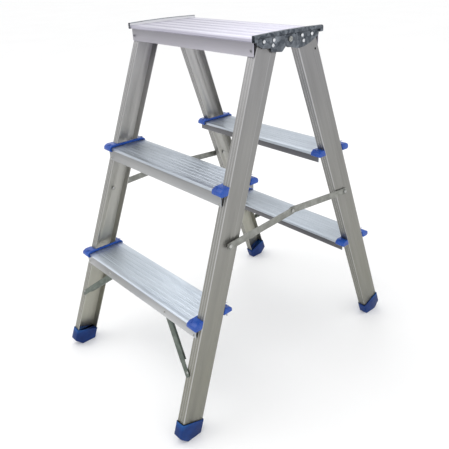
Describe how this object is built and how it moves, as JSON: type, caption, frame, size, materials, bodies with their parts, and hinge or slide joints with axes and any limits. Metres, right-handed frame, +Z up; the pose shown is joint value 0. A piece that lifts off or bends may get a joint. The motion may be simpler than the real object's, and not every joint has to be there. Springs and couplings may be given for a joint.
{
  "type": "folding step ladder",
  "caption": "Double-sided aluminium step ladder with ribbed treads and platform, hinged under the platform and held open by folding spreaders.",
  "frame": {"origin": "on the floor, midway between the four feet, under the middle of the platform", "axes": "+Z up, X across the width along the treads, -Y towards the front frame, as it stands open"},
  "size_m": [0.427, 0.6432, 0.7064],
  "materials": {
    "stile_aluminium": "satin, drawn lengthwise",
    "tread_aluminium": "satin, ribbed",
    "deck_aluminium": "satin, ribbed",
    "galvanised_steel": "galvanised",
    "rivet_steel": "bright zinc",
    "cap_plastic": "semi-gloss moulded",
    "foot_plastic": "moulded"
  },
  "bodies": {
    "front_frame": {"front_left_stile": "stile_aluminium", "front_left_foot": "foot_plastic", "front_left_brace": "galvanised_steel", "front_left_hinge_plate": "galvanised_steel", "front_left_spreader_pivot": "rivet_steel", "front_left_lower_cap": "cap_plastic", "front_left_upper_cap": "cap_plastic", "front_left_hinge_rivet_outer": "rivet_steel", "front_left_hinge_rivet_inner": "rivet_steel", "front_left_hinge_rivet_lower": "rivet_steel", "front_right_stile": "stile_aluminium", "front_right_foot": "foot_plastic", "front_right_brace": "galvanised_steel", "front_right_hinge_plate": "galvanised_steel", "front_right_spreader_pivot": "rivet_steel", "front_right_lower_cap": "cap_plastic", "front_right_upper_cap": "cap_plastic", "front_right_hinge_rivet_outer": "rivet_steel", "front_right_hinge_rivet_inner": "rivet_steel", "front_right_hinge_rivet_lower": "rivet_steel", "left_hinge_pin": "rivet_steel", "right_hinge_pin": "rivet_steel", "left_end_rail": "galvanised_steel", "right_end_rail": "galvanised_steel", "front_lower_tread": "tread_aluminium", "front_upper_tread": "tread_aluminium", "platform": "deck_aluminium"},
    "rear_frame": {"rear_left_stile": "stile_aluminium", "rear_left_foot": "foot_plastic", "rear_left_brace": "galvanised_steel", "rear_left_hinge_plate": "galvanised_steel", "rear_left_spreader_pivot": "rivet_steel", "rear_left_lower_cap": "cap_plastic", "rear_left_upper_cap": "cap_plastic", "rear_left_hinge_rivet_outer": "rivet_steel", "rear_left_hinge_rivet_inner": "rivet_steel", "rear_left_hinge_rivet_lower": "rivet_steel", "rear_right_stile": "stile_aluminium", "rear_right_foot": "foot_plastic", "rear_right_brace": "galvanised_steel", "rear_right_hinge_plate": "galvanised_steel", "rear_right_spreader_pivot": "rivet_steel", "rear_right_lower_cap": "cap_plastic", "rear_right_upper_cap": "cap_plastic", "rear_right_hinge_rivet_outer": "rivet_steel", "rear_right_hinge_rivet_inner": "rivet_steel", "rear_right_hinge_rivet_lower": "rivet_steel", "rear_lower_tread": "tread_aluminium", "rear_upper_tread": "tread_aluminium"},
    "front_left_link": {"front_left_spreader_link": "galvanised_steel", "left_knee_rivet": "rivet_steel"},
    "front_right_link": {"front_right_spreader_link": "galvanised_steel", "right_knee_rivet": "rivet_steel"},
    "rear_left_link": {"rear_left_spreader_link": "galvanised_steel"},
    "rear_right_link": {"rear_right_spreader_link": "galvanised_steel"}
  },
  "joints": [
    {"name": "frame_fold", "type": "hinge", "parent": "front_frame", "child": "rear_frame", "pos_m": [0, 0, 0.6905], "axis": [-1, 0, 0], "range_deg": [0, 37]},
    {"name": "front_right_link_turn", "type": "hinge", "parent": "front_frame", "child": "front_right_link", "pos_m": [0.19307, -0.16692, 0.3625], "axis": [0.9989, 0.0163, 0.0446], "range_deg": [0, 49.02]},
    {"name": "front_left_link_turn", "type": "hinge", "parent": "front_frame", "child": "front_left_link", "pos_m": [-0.19307, -0.16692, 0.3625], "axis": [0.9989, -0.0163, -0.0446], "range_deg": [0, 49.02]},
    {"name": "rear_right_link_turn", "type": "hinge", "parent": "rear_frame", "child": "rear_right_link", "pos_m": [0.19307, 0.16692, 0.3625], "axis": [-0.9989, 0.0163, -0.0446], "range_deg": [0, 49.02]},
    {"name": "rear_left_link_turn", "type": "hinge", "parent": "rear_frame", "child": "rear_left_link", "pos_m": [-0.19307, 0.16692, 0.3625], "axis": [-0.9989, -0.0163, 0.0446], "range_deg": [0, 49.02]}
  ],
  "couplings": [
    {"joint": "front_right_link_turn", "follows": "frame_fold", "ratio": 1.3194},
    {"joint": "front_left_link_turn", "follows": "frame_fold", "ratio": 1.3194},
    {"joint": "rear_right_link_turn", "follows": "frame_fold", "ratio": 1.3194},
    {"joint": "rear_left_link_turn", "follows": "frame_fold", "ratio": 1.3194}
  ]
}
